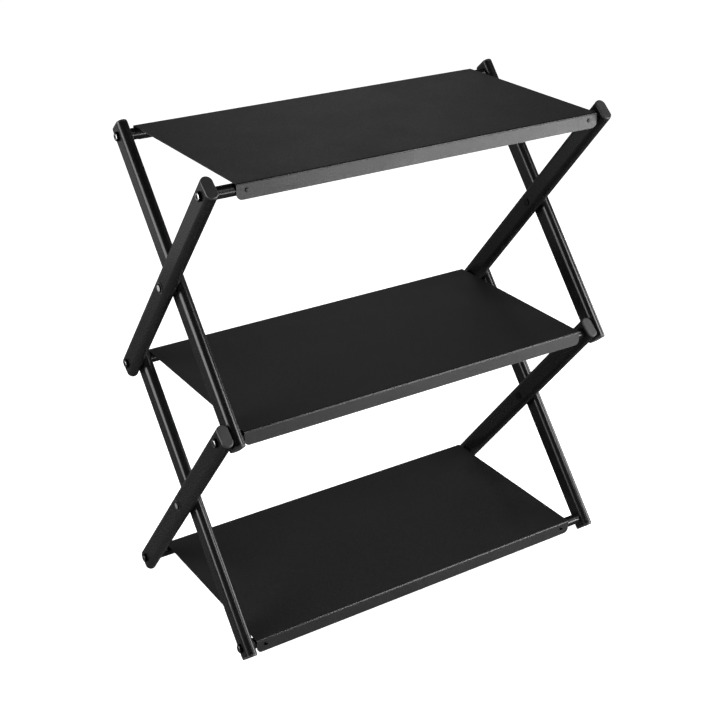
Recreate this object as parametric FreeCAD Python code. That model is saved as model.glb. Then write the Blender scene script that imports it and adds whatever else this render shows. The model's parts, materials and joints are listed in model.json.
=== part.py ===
import FreeCAD, Part
import math
import os

from FreeCAD import Placement, Rotation, Vector

# Folding shelf rack: three sheet-steel shelves carried by two stacked scissors.
#
# Frame of the model: +X to the right along the shelves, +Y to the back, +Z up.
# The origin is on the floor, under the middle of the rack. Lengths are in millimetres.
#
# Legs that rise towards the front are called fore legs, and legs that rise towards the
# back are called aft legs. Each side has two planes of legs, an inner and an outer one.
# A fore leg runs in the outer plane on the left and in the inner plane on the right,
# and an aft leg the other way round, so all four pairs of legs are the same width.

# ---- Driving dimensions ------------------------------------------------------------

SHELF_WIDTH = 600.0          # along X
SHEET = 1.2                  # shelf sheet thickness
FLANGE_HEIGHT = 22.5         # front and back flange, top face to lower edge
BEND_RADIUS = 1.5            # inside radius of the shelf's two bends
FLANGE_CORNER = 8.0          # rounding of the flange's lower corners

LEG_PITCH = 465.0            # between the two end pivots of a leg
OPEN_DEPTH = 300.0           # between the front and the back pivots, rack open
LEG_WIDTH = 35.0             # flat-oval section, along the swing plane
LEG_THICKNESS = 17.5         # flat-oval section, along X
LEG_WALL = 1.2
LEG_GAP = 0.8                # between the inner and the outer plane of legs
LEG_OVERHANG = 18.0          # from an end pivot to the crown of the end cap

SIDE_GAP = 7.0               # between a shelf's end and the inner legs
TUBE_DIAMETER = 17.0         # cross tubes
TUBE_WALL = 1.2
SHELF_CLEARANCE = 0.3        # between a shelf and the tubes that it lies on

# Moving fits
RUNNING_FIT = 0.1            # radial, pins and bushes that turn
FACE_CLEARANCE = 0.2         # axial, faces that turn past each other

# End caps
CAP_HEAD = 3.2               # thickness of the cap outside the leg
CAP_EDGE = 1.6               # rounding of the cap's outer edge
CAP_INSET = 0.25             # the cap stands in from the leg's surface by this much
CAP_PLUG = 6.0               # length inside the leg

# Pivot screws, their bushes and the threaded inserts in the tube ends
SCREW_DIAMETER = 8.0
SCREW_HEAD_DIAMETER = 14.0
SCREW_HEAD_HEIGHT = 4.4
SCREW_SOCKET = 5.0           # across the flats
SCREW_SOCKET_DEPTH = 2.6
SCREW_REACH = 12.0           # length inside the insert
BUSH_DIAMETER = 12.0
BUSH_FLANGE_DIAMETER = 16.0
BUSH_FLANGE = 1.0
INSERT_LENGTH = 14.0

# Rivets at the crossings of the legs, and the nylon washers
RIVET_DIAMETER = 10.0
RIVET_HEAD_DIAMETER = 12.5
RIVET_HEAD = 1.6
RIVET_TAIL_DIAMETER = 12.0
RIVET_TAIL = 1.8
RIVET_EDGE = 0.6             # rounding of the rivet's head and tail
WASHER_DIAMETER = 17.0
WASHER_THICKNESS = 0.6

# Screws that hold each shelf to one of its tubes
SHELF_SCREW_DIAMETER = 3.0
SHELF_SCREW_HEAD_DIAMETER = 5.7
SHELF_SCREW_HEAD = 1.65
SHELF_SCREW_SOCKET = 2.0
SHELF_SCREW_SOCKET_DEPTH = 1.0
SHELF_SCREW_LENGTH = 9.0     # under the head
SHELF_SCREW_INSET = 15.0     # from the end of the shelf

# ---- Worked out from them ----------------------------------------------------------

TUBE_RADIUS = TUBE_DIAMETER / 2
TIER_HEIGHT = math.sqrt(LEG_PITCH ** 2 - OPEN_DEPTH ** 2)
LEAN = math.degrees(math.asin(OPEN_DEPTH / LEG_PITCH))   # of a leg, from the vertical

INNER_FACE = SHELF_WIDTH / 2 + SIDE_GAP                  # |X| where the inner legs begin
OUTER_FACE = INNER_FACE + LEG_THICKNESS + LEG_GAP        # |X| where the outer legs begin

SHELF_REACH = TUBE_RADIUS + SHELF_CLEARANCE + SHEET      # tube axis to the shelf's faces
SHELF_DEPTH = OPEN_DEPTH + 2 * SHELF_REACH

# The rack stands on the rounded lower edge of its caps, which sets the lowest pivots.
FOOT_HEIGHT = ((LEG_OVERHANG - CAP_EDGE) * math.cos(math.radians(LEAN))
               + (LEG_WIDTH / 2 - CAP_INSET - CAP_EDGE) * math.sin(math.radians(LEAN))
               + CAP_EDGE)

LEVELS = {
    "bottom": FOOT_HEIGHT,
    "middle": FOOT_HEIGHT + TIER_HEIGHT,
    "top": FOOT_HEIGHT + 2 * TIER_HEIGHT,
}
ENDS = {"front": -OPEN_DEPTH / 2, "back": OPEN_DEPTH / 2}
SIDES = {"left": -1, "right": 1}

# The plane of each pair of legs on the left and on the right side.
LEG_PLANES = {
    "fore": {"left": "outer", "right": "inner"},
    "aft": {"left": "inner", "right": "outer"},
}
PLANE_START = {"inner": INNER_FACE, "outer": OUTER_FACE}

# The legs that meet at each cross tube.
TUBE_LEGS = {
    ("top", "front"): ["fore"],
    ("top", "back"): ["aft"],
    ("middle", "front"): ["fore", "aft"],
    ("middle", "back"): ["fore", "aft"],
    ("bottom", "front"): ["aft"],
    ("bottom", "back"): ["fore"],
}

# Each shelf is screwed to one tube, turns with it and only lies on the other one.
SHELF_HINGES = {"top": "front", "middle": "back", "bottom": "front"}

# The shelves sit a little to one side of the middle, within the gap at their ends.
SHELF_SHIFT = {"top": 4.0, "middle": -4.0, "bottom": -2.5}

X_AXIS = Vector(1, 0, 0)
Y_AXIS = Vector(0, 1, 0)
Z_AXIS = Vector(0, 0, 1)


# ---- Shapes used more than once ----------------------------------------------------

def along_x(diameter, start, end, y=0.0, z=0.0):
    """A solid cylinder along X from one X to another."""
    first, last = min(start, end), max(start, end)
    return Part.makeCylinder(diameter / 2, last - first, Vector(first, y, z), X_AXIS)


def ring_along_x(outer, inner, start, end, y=0.0, z=0.0):
    return along_x(outer, start, end, y, z).cut(along_x(inner, start, end, y, z))


def oval_bar(width, thickness, bottom, top):
    """An upright bar of flat-oval section, its wide sides facing along X."""
    radius = thickness / 2
    flat = width / 2 - radius
    corners = [Vector(radius, -flat, bottom), Vector(radius, flat, bottom),
               Vector(-radius, flat, bottom), Vector(-radius, -flat, bottom)]
    outline = Part.Wire([
        Part.makeLine(corners[0], corners[1]),
        Part.Arc(corners[1], Vector(0, width / 2, bottom), corners[2]).toShape(),
        Part.makeLine(corners[2], corners[3]),
        Part.Arc(corners[3], Vector(0, -width / 2, bottom), corners[0]).toShape(),
    ])
    return Part.Face(outline).extrude(Vector(0, 0, top - bottom))


def hex_prism(across_flats, height):
    """A hexagonal prism on the XY plane, for the sockets of the screws."""
    radius = across_flats / math.sqrt(3)
    corners = [Vector(radius * math.cos(math.radians(60 * i)),
                      radius * math.sin(math.radians(60 * i)), 0) for i in range(7)]
    return Part.Face(Part.makePolygon(corners)).extrude(Vector(0, 0, height))


def button_screw(diameter, length, head_diameter, head_height, socket, socket_depth):
    """A round-headed socket screw along +Z. Its head stands on the XY plane."""
    shank = Part.makeCylinder(diameter / 2, length, Vector(0, 0, -length))
    # The side of the head is upright, and its crown is an arc up to a flat land round the socket.
    head_radius = head_diameter / 2
    land_radius = socket * 0.72
    rim = head_height * 0.4
    shoulder = Vector(head_radius * 0.87, 0, head_height * 0.83)
    profile = Part.Wire([
        Part.makeLine(Vector(0, 0, 0), Vector(head_radius, 0, 0)),
        Part.makeLine(Vector(head_radius, 0, 0), Vector(head_radius, 0, rim)),
        Part.Arc(Vector(head_radius, 0, rim), shoulder,
                 Vector(land_radius, 0, head_height)).toShape(),
        Part.makeLine(Vector(land_radius, 0, head_height), Vector(0, 0, head_height)),
        Part.makeLine(Vector(0, 0, head_height), Vector(0, 0, 0)),
    ])
    head = Part.Face(profile).revolve(Vector(0, 0, 0), Z_AXIS, 360)
    recess = hex_prism(socket, socket_depth)
    recess.translate(Vector(0, 0, head_height - socket_depth))
    return shank.fuse(head).removeSplitter().cut(recess)


def rounded_disc(diameter, thickness, edge, start, direction):
    """A disc along X with its outer edge rounded, on the side away from its start."""
    disc = along_x(diameter, start, start + direction * thickness)
    far_face = start + direction * thickness
    rim = [e for e in disc.Edges
           if e.Closed and abs(e.CenterOfMass.x - far_face) < 1e-6]
    return disc.makeFillet(edge, rim)


def placed(shape, rotation, position):
    copy = shape.copy()
    copy.Placement = Placement(position, rotation)
    return copy


# ---- Where things are --------------------------------------------------------------

def leg_middle(kind, side):
    """X of the middle of a leg."""
    start = PLANE_START[LEG_PLANES[kind][side]]
    return SIDES[side] * (start + LEG_THICKNESS / 2)


def place_leg(shape, tier, kind, side):
    """Leans an upright shape, made from the leg's lower pivot up, into its place."""
    lower = "bottom" if tier == "lower" else "middle"
    foot = ENDS["back"] if kind == "fore" else ENDS["front"]
    lean = LEAN if kind == "fore" else -LEAN
    position = Vector(leg_middle(kind, side), foot, LEVELS[lower])
    return placed(shape, Rotation(X_AXIS, lean), position)


def stack_at_tube(level, end, side):
    """|X| of the inner and the outer face of the legs that a tube's end meets."""
    starts = [PLANE_START[LEG_PLANES[kind][side]] for kind in TUBE_LEGS[(level, end)]]
    return min(starts), max(starts) + LEG_THICKNESS


def tube_end(level, end, side):
    """X of the end of a cross tube, which stops against the flange of a bush."""
    inner, outer = stack_at_tube(level, end, side)
    return SIDES[side] * (inner - BUSH_FLANGE - 2 * FACE_CLEARANCE)


def shelf_screw_places(level):
    """X of the two screws of a shelf."""
    reach = SHELF_WIDTH / 2 - SHELF_SCREW_INSET
    return [SHELF_SHIFT[level] + sign * reach for sign in SIDES.values()]


# ---- The pieces --------------------------------------------------------------------

def make_leg():
    """A flat-oval tube with holes for its two end bushes and its middle rivet."""
    end = LEG_OVERHANG - CAP_HEAD
    bottom = -end
    top = LEG_PITCH + end
    tube = oval_bar(LEG_WIDTH, LEG_THICKNESS, bottom, top)
    bore = oval_bar(LEG_WIDTH - 2 * LEG_WALL, LEG_THICKNESS - 2 * LEG_WALL, bottom, top)
    leg = tube.cut(bore)
    reach = LEG_THICKNESS
    bush_hole = BUSH_DIAMETER + 2 * RUNNING_FIT
    rivet_hole = RIVET_DIAMETER + 2 * RUNNING_FIT
    for height, diameter in ((0, bush_hole), (LEG_PITCH, bush_hole), (LEG_PITCH / 2, rivet_hole)):
        leg = leg.cut(along_x(diameter, -reach, reach, z=height))
    return leg


def make_cap():
    """The plug for the top of an upright leg. Its shoulder is on the XY plane."""
    width = LEG_WIDTH - 2 * CAP_INSET
    thickness = LEG_THICKNESS - 2 * CAP_INSET
    head = oval_bar(width, thickness, 0, CAP_HEAD)
    crown = [e for e in head.Edges if abs(e.BoundBox.ZMin - CAP_HEAD) < 1e-6]
    head = head.makeFillet(CAP_EDGE, crown)
    plug = oval_bar(LEG_WIDTH - 2 * LEG_WALL, LEG_THICKNESS - 2 * LEG_WALL, -CAP_PLUG, 0)
    return head.fuse(plug)


def make_leg_caps():
    """The two caps of an upright leg, at its top and at its foot."""
    end = LEG_OVERHANG - CAP_HEAD
    top = placed(make_cap(), Rotation(), Vector(0, 0, LEG_PITCH + end))
    foot = placed(make_cap(), Rotation(X_AXIS, 180), Vector(0, 0, -end))
    return Part.makeCompound([top, foot])


def make_tube(level, end):
    """A cross tube, with two small holes where a shelf is screwed to it."""
    y, z = ENDS[end], LEVELS[level]
    left, right = tube_end(level, end, "left"), tube_end(level, end, "right")
    tube = ring_along_x(TUBE_DIAMETER, TUBE_DIAMETER - 2 * TUBE_WALL, left, right, y, z)
    if SHELF_HINGES[level] != end:
        return tube
    outward = -1 if end == "front" else 1
    for x in shelf_screw_places(level):
        drill = Part.makeCylinder(SHELF_SCREW_DIAMETER / 2, TUBE_DIAMETER,
                                  Vector(x, y, z), Y_AXIS * outward)
        tube = tube.cut(drill)
    return tube


def make_inserts(level, end):
    """The threaded plugs in the two ends of a cross tube.

    They are pressed into a tube that stays with its legs. A tube that turns with its
    shelf runs on them.
    """
    y, z = ENDS[end], LEVELS[level]
    diameter = TUBE_DIAMETER - 2 * TUBE_WALL
    if SHELF_HINGES[level] == end:
        diameter -= 2 * RUNNING_FIT
    plugs = []
    for side, sign in SIDES.items():
        mouth = tube_end(level, end, side)
        plugs.append(ring_along_x(diameter, SCREW_DIAMETER,
                                  mouth, mouth - sign * INSERT_LENGTH, y, z))
    return Part.makeCompound(plugs)


def make_pivot_screws(level, end):
    """The screws that pin the legs to the two ends of a cross tube."""
    screws = []
    for side, sign in SIDES.items():
        head = stack_at_tube(level, end, side)[1] + FACE_CLEARANCE
        tip = abs(tube_end(level, end, side)) - SCREW_REACH
        screw = button_screw(SCREW_DIAMETER, head - tip, SCREW_HEAD_DIAMETER,
                             SCREW_HEAD_HEIGHT, SCREW_SOCKET, SCREW_SOCKET_DEPTH)
        position = Vector(sign * head, ENDS[end], LEVELS[level])
        screws.append(placed(screw, Rotation(Z_AXIS, X_AXIS * sign), position))
    return Part.makeCompound(screws)


def make_bushes(level, end):
    """Flanged nylon bushes through the legs, with the flange against the tube."""
    y, z = ENDS[end], LEVELS[level]
    bore = SCREW_DIAMETER + 2 * RUNNING_FIT
    bushes = []
    for side, sign in SIDES.items():
        inner, outer = stack_at_tube(level, end, side)
        shoulder = sign * (inner - FACE_CLEARANCE)
        sleeve = along_x(BUSH_DIAMETER, shoulder, sign * outer, y, z)
        flange = along_x(BUSH_FLANGE_DIAMETER, shoulder, shoulder - sign * BUSH_FLANGE, y, z)
        drill = along_x(bore, sign * (inner - 2 * BUSH_FLANGE), sign * (outer + 1), y, z)
        bushes.append(sleeve.fuse(flange).cut(drill))
    return Part.makeCompound(bushes)


def make_crossing_rivet(tier, side):
    """The rivet through both legs at the middle of a scissor: flat head, small tail."""
    sign = SIDES[side]
    inner = sign * (INNER_FACE - FACE_CLEARANCE)
    outer = sign * (OUTER_FACE + LEG_THICKNESS + 2 * FACE_CLEARANCE + WASHER_THICKNESS)
    shank = along_x(RIVET_DIAMETER, inner, outer)
    head = rounded_disc(RIVET_HEAD_DIAMETER, RIVET_HEAD, RIVET_EDGE, outer, sign)
    tail = rounded_disc(RIVET_TAIL_DIAMETER, RIVET_TAIL, RIVET_EDGE, inner, -sign)
    rivet = shank.fuse(head).fuse(tail)
    lower = LEVELS["bottom"] if tier == "lower" else LEVELS["middle"]
    rivet.translate(Vector(0, 0, lower + TIER_HEIGHT / 2))
    return rivet


def make_crossing_washers(tier):
    """Nylon washers of one scissor: between its legs and under the rivets' heads."""
    lower = LEVELS["bottom"] if tier == "lower" else LEVELS["middle"]
    height = lower + TIER_HEIGHT / 2
    bore = RIVET_DIAMETER + 2 * RUNNING_FIT
    between = INNER_FACE + LEG_THICKNESS + (LEG_GAP - WASHER_THICKNESS) / 2
    outside = OUTER_FACE + LEG_THICKNESS + FACE_CLEARANCE
    washers = [ring_along_x(WASHER_DIAMETER, bore, sign * start,
                            sign * (start + WASHER_THICKNESS), z=height)
               for sign in SIDES.values() for start in (between, outside)]
    return Part.makeCompound(washers)


def make_elbow_washers(end):
    """Nylon washers between the upper and the lower legs, where they meet."""
    bore = BUSH_DIAMETER + 2 * RUNNING_FIT
    start = INNER_FACE + LEG_THICKNESS + (LEG_GAP - WASHER_THICKNESS) / 2
    washers = [ring_along_x(WASHER_DIAMETER, bore, sign * start, sign * (start + WASHER_THICKNESS),
                            ENDS[end], LEVELS["middle"])
               for sign in SIDES.values()]
    return Part.makeCompound(washers)


def shelf_section(depth, top, bottom, radius, x):
    """A face across the shelf: a flat top, two rounded bends, two upright sides."""
    half = depth / 2
    slant = radius * (1 - math.sqrt(0.5))
    left_arc = Part.Arc(Vector(x, -half, top - radius), Vector(x, -half + slant, top - slant),
                        Vector(x, -half + radius, top))
    right_arc = Part.Arc(Vector(x, half - radius, top), Vector(x, half - slant, top - slant),
                         Vector(x, half, top - radius))
    return Part.Face(Part.Wire([
        Part.makeLine(Vector(x, -half, bottom), Vector(x, -half, top - radius)),
        left_arc.toShape(),
        Part.makeLine(Vector(x, -half + radius, top), Vector(x, half - radius, top)),
        right_arc.toShape(),
        Part.makeLine(Vector(x, half, top - radius), Vector(x, half, bottom)),
        Part.makeLine(Vector(x, half, bottom), Vector(x, -half, bottom)),
    ]))


def make_shelf(level):
    """A shelf of bent sheet, open at its two ends, with two screw holes in a flange."""
    z = LEVELS[level]
    top = z + SHELF_REACH
    bottom = top - FLANGE_HEIGHT
    middle = SHELF_SHIFT[level]
    start = middle - SHELF_WIDTH / 2
    length = Vector(SHELF_WIDTH, 0, 0)
    outside = shelf_section(SHELF_DEPTH, top, bottom, BEND_RADIUS + SHEET, start).extrude(length)
    inside = shelf_section(SHELF_DEPTH - 2 * SHEET, top - SHEET, bottom - 1,
                           BEND_RADIUS, start).extrude(length)
    shelf = outside.cut(inside)
    # The lower corners of both flanges are rounded.
    corners = [e for e in shelf.Edges
               if abs(e.BoundBox.ZMax - bottom) < 1e-6
               and e.BoundBox.XLength < 1e-6
               and abs(abs(e.BoundBox.XMin - middle) - SHELF_WIDTH / 2) < 1e-6]
    shelf = shelf.makeFillet(FLANGE_CORNER, corners)
    y = ENDS[SHELF_HINGES[level]]
    outward = Y_AXIS * math.copysign(1, y)
    for x in shelf_screw_places(level):
        shelf = shelf.cut(Part.makeCylinder(SHELF_SCREW_DIAMETER / 2, 2 * SHELF_REACH,
                                            Vector(x, y, z), outward))
    return shelf


def make_shelf_screws(level):
    """The two screws through a shelf's flange into the tube behind it."""
    end = SHELF_HINGES[level]
    outward = -1 if end == "front" else 1
    screw = button_screw(SHELF_SCREW_DIAMETER, SHELF_SCREW_LENGTH, SHELF_SCREW_HEAD_DIAMETER,
                         SHELF_SCREW_HEAD, SHELF_SCREW_SOCKET, SHELF_SCREW_SOCKET_DEPTH)
    rotation = Rotation(Z_AXIS, Y_AXIS * outward)
    y = ENDS[end] + outward * SHELF_REACH
    screws = [placed(screw, rotation, Vector(x, y, LEVELS[level]))
              for x in shelf_screw_places(level)]
    return Part.makeCompound(screws)


# ---- The whole rack ----------------------------------------------------------------

def rack_pieces():
    """Every node of the rack, by its name."""
    pieces = {}
    leg = make_leg()
    caps = make_leg_caps()
    for tier in ("upper", "lower"):
        for kind in ("fore", "aft"):
            for side in SIDES:
                name = f"{tier}_{kind}_leg_{side}"
                pieces[name] = place_leg(leg, tier, kind, side)
                pieces[f"{name}_caps"] = place_leg(caps, tier, kind, side)
        for side in SIDES:
            pieces[f"{tier}_crossing_rivet_{side}"] = make_crossing_rivet(tier, side)
        pieces[f"{tier}_crossing_washers"] = make_crossing_washers(tier)
    for level, end in TUBE_LEGS:
        pieces[f"{level}_{end}_tube"] = make_tube(level, end)
        pieces[f"{level}_{end}_inserts"] = make_inserts(level, end)
        pieces[f"{level}_{end}_pivot_screws"] = make_pivot_screws(level, end)
        pieces[f"{level}_{end}_bushes"] = make_bushes(level, end)
    for end in ENDS:
        pieces[f"{end}_elbow_washers"] = make_elbow_washers(end)
    for level in LEVELS:
        pieces[f"{level}_shelf"] = make_shelf(level)
        pieces[f"{level}_shelf_screws"] = make_shelf_screws(level)
    return pieces


os.makedirs("parts", exist_ok=True)
for node, shape in rack_pieces().items():
    if not shape.isValid():
        raise ValueError(f"{node} is not a valid shape")
    shape.exportStep(f"parts/{node}.step")
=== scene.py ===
import json
import math

import bpy
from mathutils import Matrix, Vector

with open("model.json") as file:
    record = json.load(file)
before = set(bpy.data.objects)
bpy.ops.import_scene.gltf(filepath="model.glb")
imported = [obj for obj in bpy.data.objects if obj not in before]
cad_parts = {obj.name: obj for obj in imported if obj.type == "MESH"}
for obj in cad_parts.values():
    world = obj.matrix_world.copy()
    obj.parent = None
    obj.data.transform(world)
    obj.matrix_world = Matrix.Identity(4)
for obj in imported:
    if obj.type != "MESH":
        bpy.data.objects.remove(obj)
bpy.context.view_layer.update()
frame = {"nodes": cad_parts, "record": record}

MM = 0.001

LIGHTER_EDGE_COLOUR = (0.10, 0.10, 0.104)       # lighter colour painted on sharp edges, in patches
BLACKENED = (0.012, 0.012, 0.013)        # blackened steel, where it is clean; round the rivet heads it is painted shade
BLACKENED_DULL = (0.030, 0.030, 0.032)   # and where it is smeared
PAINT_SPECULAR = 0.30
EDGE_SAMPLES = 6
WHITE = (1.0, 1.0, 1.0)


# ---- Materials ---------------------------------------------------------------------

class Nodes:
    """A material with a Principled shader, and short ways to add and link its nodes."""

    def __init__(self, name):
        self.material = bpy.data.materials.new(name)
        self.material.use_nodes = True
        self.tree = self.material.node_tree
        self.shader = self.tree.nodes["Principled BSDF"]
        coordinates = self.add("ShaderNodeTexCoord")
        self.place = coordinates.outputs["Object"]
        self.share_of_size = coordinates.outputs["Generated"]
        self.facing = coordinates.outputs["Normal"]

    def add(self, kind, **settings):
        node = self.tree.nodes.new(kind)
        for key, value in settings.items():
            setattr(node, key, value)
        return node

    def link(self, source, target):
        self.tree.links.new(source, target)

    def noise(self, size, detail=2.0, stretch=None):
        """Noise whose blobs are about that many metres across."""
        node = self.add("ShaderNodeTexNoise")
        node.inputs["Scale"].default_value = 1 / size
        node.inputs["Detail"].default_value = detail
        place = self.place
        if stretch is not None:
            mapping = self.add("ShaderNodeMapping")
            mapping.inputs["Scale"].default_value = stretch
            self.link(self.place, mapping.inputs["Vector"])
            place = mapping.outputs["Vector"]
        self.link(place, node.inputs["Vector"])
        return node.outputs["Fac"]

    def remap(self, source, low, high, new_low=0.0, new_high=1.0):
        """The range from low to high, moved to the new one and cut off at its ends."""
        node = self.add("ShaderNodeMapRange")
        node.inputs["From Min"].default_value = low
        node.inputs["From Max"].default_value = high
        node.inputs["To Min"].default_value = new_low
        node.inputs["To Max"].default_value = new_high
        self.link(source, node.inputs["Value"])
        return node.outputs["Result"]

    def math(self, operation, first, second=0.0):
        """One sum on two values, each a socket or a number."""
        node = self.add("ShaderNodeMath", operation=operation)
        for slot, value in zip(node.inputs, (first, second)):
            if isinstance(value, (int, float)):
                slot.default_value = value
            else:
                self.link(value, slot)
        return node.outputs["Value"]

    def mix(self, factor, first, second):
        """A mix of two colours, each a socket or three numbers."""
        node = self.add("ShaderNodeMix", data_type="RGBA")
        self.link(factor, node.inputs["Factor"])
        # The node has an A, a B and a result for each type of data. These are the colours'.
        colour_a, colour_b, result = node.inputs[6], node.inputs[7], node.outputs[2]
        for slot, value in ((colour_a, first), (colour_b, second)):
            if isinstance(value, tuple):
                slot.default_value = (*value, 1.0)
            else:
                self.link(value, slot)
        return result

    def edges(self, radius):
        """1 on edges that are sharper than that radius, 0 elsewhere."""
        rounded = self.add("ShaderNodeBevel", samples=EDGE_SAMPLES)
        rounded.inputs["Radius"].default_value = radius
        geometry = self.add("ShaderNodeNewGeometry")
        dot = self.add("ShaderNodeVectorMath", operation="DOT_PRODUCT")
        self.link(rounded.outputs["Normal"], dot.inputs[0])
        self.link(geometry.outputs["Normal"], dot.inputs[1])
        return self.remap(dot.outputs["Value"], 0.995, 0.86)

    def bends(self):
        """1 where the surface faces between the axes, as on a sheet's bends, else 0."""
        facing = self.add("ShaderNodeSeparateXYZ")
        self.link(self.facing, facing.inputs["Vector"])
        largest = 0.0
        for axis in "XYZ":
            share = self.math("ABSOLUTE", facing.outputs[axis])
            largest = self.math("MAXIMUM", share, largest)
        return self.remap(largest, 0.995, 0.96)

    def head_and_highlight_disc(self, radius, beyond):
        """1 on a disc round the middle of a head that faces along X, 0 elsewhere.
        The disc gets a bright colour. On the black screw heads it is a painted highlight. On
        the rivets it is the bright head, and the black ring round it is painted shade on the
        rounded rim.

        The radius is a share of the head's diameter. Only what lies further than
        `beyond` metres from the middle plane of the rack counts.
        """
        share = self.add("ShaderNodeSeparateXYZ")
        self.link(self.share_of_size, share.inputs["Vector"])
        across = self.math("POWER", self.math("SUBTRACT", share.outputs["Y"], 0.5), 2.0)
        up = self.math("POWER", self.math("SUBTRACT", share.outputs["Z"], 0.5), 2.0)
        inside = self.math("LESS_THAN", self.math("ADD", across, up), radius ** 2)
        place = self.add("ShaderNodeSeparateXYZ")
        self.link(self.place, place.inputs["Vector"])
        from_middle = self.math("ABSOLUTE", place.outputs["X"])
        return self.math("MULTIPLY", inside, self.math("GREATER_THAN", from_middle, beyond))

    def bump(self, height, distance, under=None):
        """A relief that is that many metres high, on top of the one under it."""
        node = self.add("ShaderNodeBump")
        node.inputs["Distance"].default_value = distance
        self.link(height, node.inputs["Height"])
        if under is not None:
            self.link(under, node.inputs["Normal"])
        return node.outputs["Normal"]

    def set(self, **values):
        """Sets the shader's sockets: a number stays on the socket, a socket is linked."""
        for key, value in values.items():
            socket = self.shader.inputs[key.replace("_", " ")]
            if isinstance(value, (int, float)):
                socket.default_value = value
            elif isinstance(value, tuple):
                socket.default_value = (*value, 1.0)
            else:
                self.link(value, socket)


def times(factor, colour):
    return tuple(factor * share for share in colour)


def powder_coat(name, colour, roughness, grain, relief, polish=0.0):
    """Black powder coat: a fine grain on a faint orange peel, painted lighter in patches on its
    sharp edges.

    The relief is the height of the grain, as a share of its size. The polish is how much
    less rough the bends of a sheet are than its flat parts.
    """
    m = Nodes(name)
    fine = m.noise(grain)
    peel = m.noise(3.2 * MM, detail=1.0)
    cloud = m.noise(70 * MM, detail=1.0)
    base = m.mix(m.remap(cloud, 0.35, 0.65), times(0.90, colour), times(1.12, colour))
    speck = m.remap(fine, 0.45, 0.75, 0.0, 0.75)
    base = m.mix(speck, base, times(2.1, colour))
    mottle = m.remap(m.noise(3.0 * MM), 0.50, 0.75, 0.0, 0.5)
    base = m.mix(mottle, base, times(1.9, colour))
    # Sharp edges are painted a lighter colour, in patches.
    patches = m.remap(m.noise(9 * MM, detail=4.0), 0.42, 0.62, 0.05, 0.75)
    lighter_edges = m.math("MULTIPLY", m.edges(0.9 * MM), patches)
    base = m.mix(lighter_edges, base, LIGHTER_EDGE_COLOUR)
    rough = m.remap(cloud, 0.3, 0.7, roughness - 0.015, roughness + 0.02)
    rough = m.math("ADD", rough, m.remap(fine, 0.3, 0.7, -0.05, 0.05))
    if polish > 0:
        rough = m.math("SUBTRACT", rough, m.math("MULTIPLY", m.bends(), polish))
    normal = m.bump(peel, 0.012 * MM)
    normal = m.bump(fine, grain * relief, under=normal)
    m.set(Base_Color=base, Roughness=rough, Specular_IOR_Level=PAINT_SPECULAR, Normal=normal)
    return m.material


def moulded_plastic(name, colour, roughness):
    """Plain moulded plastic with a fine spark-eroded grain and a faint flow mottle."""
    m = Nodes(name)
    grain = m.noise(0.45 * MM)
    mottle = m.noise(8 * MM, detail=3.0)
    base = m.mix(m.remap(mottle, 0.35, 0.65), times(0.85, colour), times(1.15, colour))
    # Sharp edges are painted a lighter colour, in patches.
    patches = m.remap(m.noise(5 * MM, detail=3.0), 0.4, 0.6, 0.1, 0.6)
    lighter_edges = m.math("MULTIPLY", m.edges(0.8 * MM), patches)
    base = m.mix(lighter_edges, base, times(4, colour))
    rough = m.remap(grain, 0.3, 0.7, roughness - 0.06, roughness + 0.06)
    m.set(Base_Color=base, Roughness=rough, Normal=m.bump(grain, 0.05 * MM))
    return m.material


def blackened_steel(name, bright, roughness, radius, beyond):
    """Glossy blackened steel, with a bright disc painted on the outer heads.

    On the screws the bright disc is a painted highlight on a black head. On the rivets it is
    the bright head, and the black ring round it is painted shade on the rounded rim. The
    radius and `beyond` say where the disc is, as in Nodes.head_and_highlight_disc.
    """
    m = Nodes(name)
    smear = m.noise(1.6 * MM, detail=3.0)
    black = m.mix(m.remap(smear, 0.35, 0.7), BLACKENED, BLACKENED_DULL)
    # Bright disc on the outer heads: a painted highlight on the screws, and on the rivets a
    # bright head with painted shade on the black rim round it.
    head_and_highlight_colour = m.mix(m.remap(smear, 0.3, 0.7), times(0.75, bright), bright)
    base = m.mix(m.head_and_highlight_disc(radius, beyond), black, head_and_highlight_colour)
    rough = m.remap(smear, 0.3, 0.7, roughness - 0.05, roughness + 0.07)
    m.set(Base_Color=base, Metallic=1.0, Roughness=rough,
          Normal=m.bump(m.noise(0.5 * MM), 0.012 * MM))
    return m.material


def zinc_plate(name, colour, roughness):
    """Plated steel with fine scratches and a dull mottle."""
    m = Nodes(name)
    scratch = m.noise(0.35 * MM, detail=3.0, stretch=(1.0, 0.12, 1.0))
    mottle = m.noise(2.5 * MM, detail=3.0)
    base = m.mix(m.remap(mottle, 0.3, 0.7), times(0.8, colour), colour)
    rough = m.remap(mottle, 0.3, 0.7, roughness - 0.06, roughness + 0.08)
    m.set(Base_Color=base, Metallic=1.0, Roughness=rough, Normal=m.bump(scratch, 0.01 * MM))
    return m.material


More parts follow.
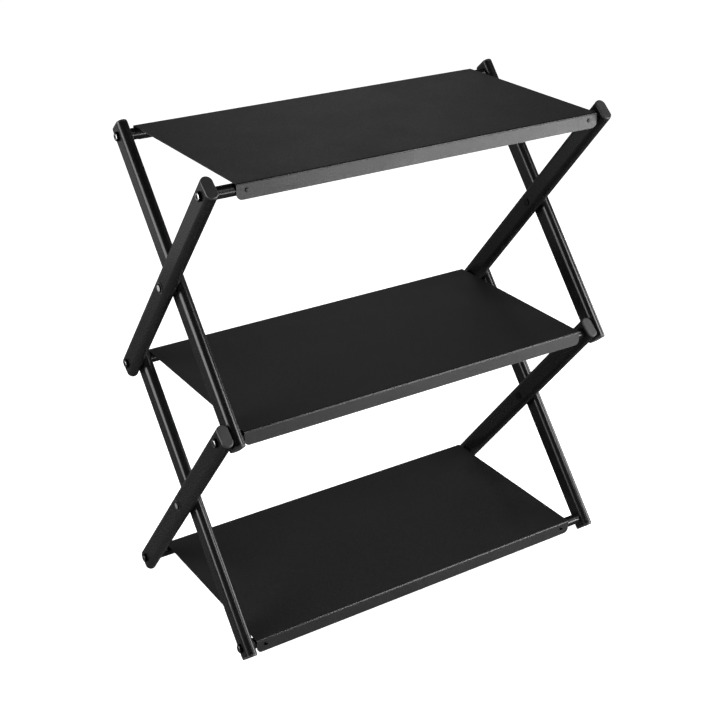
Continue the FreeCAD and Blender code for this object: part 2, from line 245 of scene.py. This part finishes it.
MATERIALS = {
    "frame_paint": powder_coat("frame_paint", (0.0042, 0.0042, 0.0044), roughness=0.24,
                               grain=0.8 * MM, relief=0.03),
    "shelf_paint": powder_coat("shelf_paint", (0.0080, 0.0080, 0.0084), roughness=0.47,
                               grain=2.2 * MM, relief=0.10, polish=0.22),
    "cap_plastic": moulded_plastic("cap_plastic", (0.018, 0.018, 0.019), roughness=0.42),
    "nylon": moulded_plastic("nylon", (0.010, 0.010, 0.010), roughness=0.5),
    # The screw heads get a painted highlight disc. The rivet heads get painted shade round
    # their bright middles.
    "screw_black": blackened_steel("screw_black", (0.42, 0.42, 0.43), roughness=0.22,
                                   radius=0.40, beyond=0.31),
    "rivet_steel": blackened_steel("rivet_steel", (0.90, 0.90, 0.91), roughness=0.38,
                                   radius=0.37, beyond=0.33),
    "insert_steel": zinc_plate("insert_steel", (0.62, 0.61, 0.56), roughness=0.35),
}

for part in frame["record"]["subparts"]:
    node = frame["nodes"][part["node"]]
    for index in range(len(node.material_slots)):
        node.material_slots[index].material = MATERIALS[part["material_slot"]]


# ---- Studio ------------------------------------------------------------------------

MIDDLE_OF_RACK = Vector((0.0, 0.0, 0.4))
FLOOR_REACH = 80.0                       # from the middle to each edge
FLOOR_SHADES = (0.86, 0.86, 0.86), (0.88, 0.88, 0.88)


def make_floor():
    """A pale floor with a glow of its own, which keeps it white. The rack doesn't mirror it."""
    m = Nodes("studio_floor")
    shade = m.mix(m.remap(m.noise(20 * MM, detail=4.0), 0.3, 0.7), *FLOOR_SHADES)
    m.set(Base_Color=shade, Roughness=0.7, Specular_IOR_Level=0.2,
          Emission_Color=WHITE, Emission_Strength=1.0)
    mesh = bpy.data.meshes.new("studio_floor")
    reach = FLOOR_REACH
    corners = [(-reach, -reach, 0), (reach, -reach, 0), (reach, reach, 0), (-reach, reach, 0)]
    mesh.from_pydata(corners, [], [(0, 1, 2, 3)])
    mesh.materials.append(m.material)
    floor = bpy.data.objects.new("studio_floor", mesh)
    floor.visible_glossy = False
    bpy.context.scene.collection.objects.link(floor)


def around(azimuth, elevation, distance):
    """A place at that distance from the middle of the rack, by two angles in degrees."""
    azimuth, elevation = math.radians(azimuth), math.radians(elevation)
    outward = Vector((math.cos(azimuth) * math.cos(elevation),
                      math.sin(azimuth) * math.cos(elevation),
                      math.sin(elevation)))
    return MIDDLE_OF_RACK + distance * outward


def make_light(name, place, width, height, power):
    """A soft box that faces the middle of the rack."""
    lamp = bpy.data.lights.new(name, "AREA")
    lamp.shape = "RECTANGLE"
    lamp.size = width
    lamp.size_y = height
    lamp.energy = power
    light = bpy.data.objects.new(name, lamp)
    light.location = place
    light.rotation_euler = (place - MIDDLE_OF_RACK).to_track_quat("Z", "Y").to_euler()
    bpy.context.scene.collection.objects.link(light)


def make_world(bands):
    """Grey surroundings in bands of height: each band is where it starts, as the sine of
    the angle above the horizon, and how bright it is."""
    world = bpy.data.worlds.new("studio")
    world.use_nodes = True
    tree = world.node_tree
    direction = tree.nodes.new("ShaderNodeTexCoord").outputs["Generated"]
    split = tree.nodes.new("ShaderNodeSeparateXYZ")
    height = tree.nodes.new("ShaderNodeMapRange")
    height.inputs["From Min"].default_value = -1.0
    ramp = tree.nodes.new("ShaderNodeValToRGB")
    ramp.color_ramp.interpolation = "CONSTANT"
    brightest = max(grey for start, grey in bands)
    stops = ramp.color_ramp.elements
    while len(stops) < len(bands):
        stops.new(1.0)
    for stop, (start, grey) in zip(stops, bands):
        stop.position = (start + 1) / 2
        stop.color = (*times(grey / brightest, WHITE), 1.0)
    background = tree.nodes["Background"]
    background.inputs["Strength"].default_value = brightest
    tree.links.new(direction, split.inputs[0])
    tree.links.new(split.outputs["Z"], height.inputs["Value"])
    tree.links.new(height.outputs["Result"], ramp.inputs["Fac"])
    tree.links.new(ramp.outputs["Color"], background.inputs["Color"])
    bpy.context.scene.world = world


def make_camera():
    """Stands to the left, in front and above, and looks at a point inside the rack."""
    lens = bpy.data.cameras.new("camera")
    lens.sensor_width = 36.0
    lens.lens = 69.1
    lens.shift_x = -0.0556
    lens.shift_y = -0.0016
    camera = bpy.data.objects.new("camera", lens)
    camera.location = (-1.0490, -1.6679, 1.3071)
    aim = Vector((0.0596, 0.0, 0.3398))
    camera.rotation_euler = (aim - camera.location).to_track_quat("-Z", "Y").to_euler()
    bpy.context.scene.collection.objects.link(camera)
    bpy.context.scene.camera = camera


make_camera()
make_floor()
make_world([(-1.0, 0.09), (-0.4, 0.12), (0.0, 0.22), (0.34, 0.0)])
make_light("front_right", Vector((1.15, -1.50, 0.23)), width=1.5, height=0.44, power=46)
make_light("right_high", around(307, 38, 2.0), width=0.75, height=0.6, power=23)
make_light("right_low", around(341, 5, 2.0), width=1.4, height=0.6, power=24)
make_light("left", Vector((-1.55, 0.05, 0.60)), width=0.5, height=1.2, power=16)
make_light("left_back", Vector((-1.55, 0.55, 0.75)), width=0.5, height=1.2, power=13)
make_light("back", around(60, 30, 3.2), width=1.1, height=0.9, power=1.8)
make_light("back_left_card", Vector((-1.00, 1.20, 0.30)), width=0.7, height=0.5, power=0.40)
bpy.context.scene.view_settings.view_transform = "Standard"
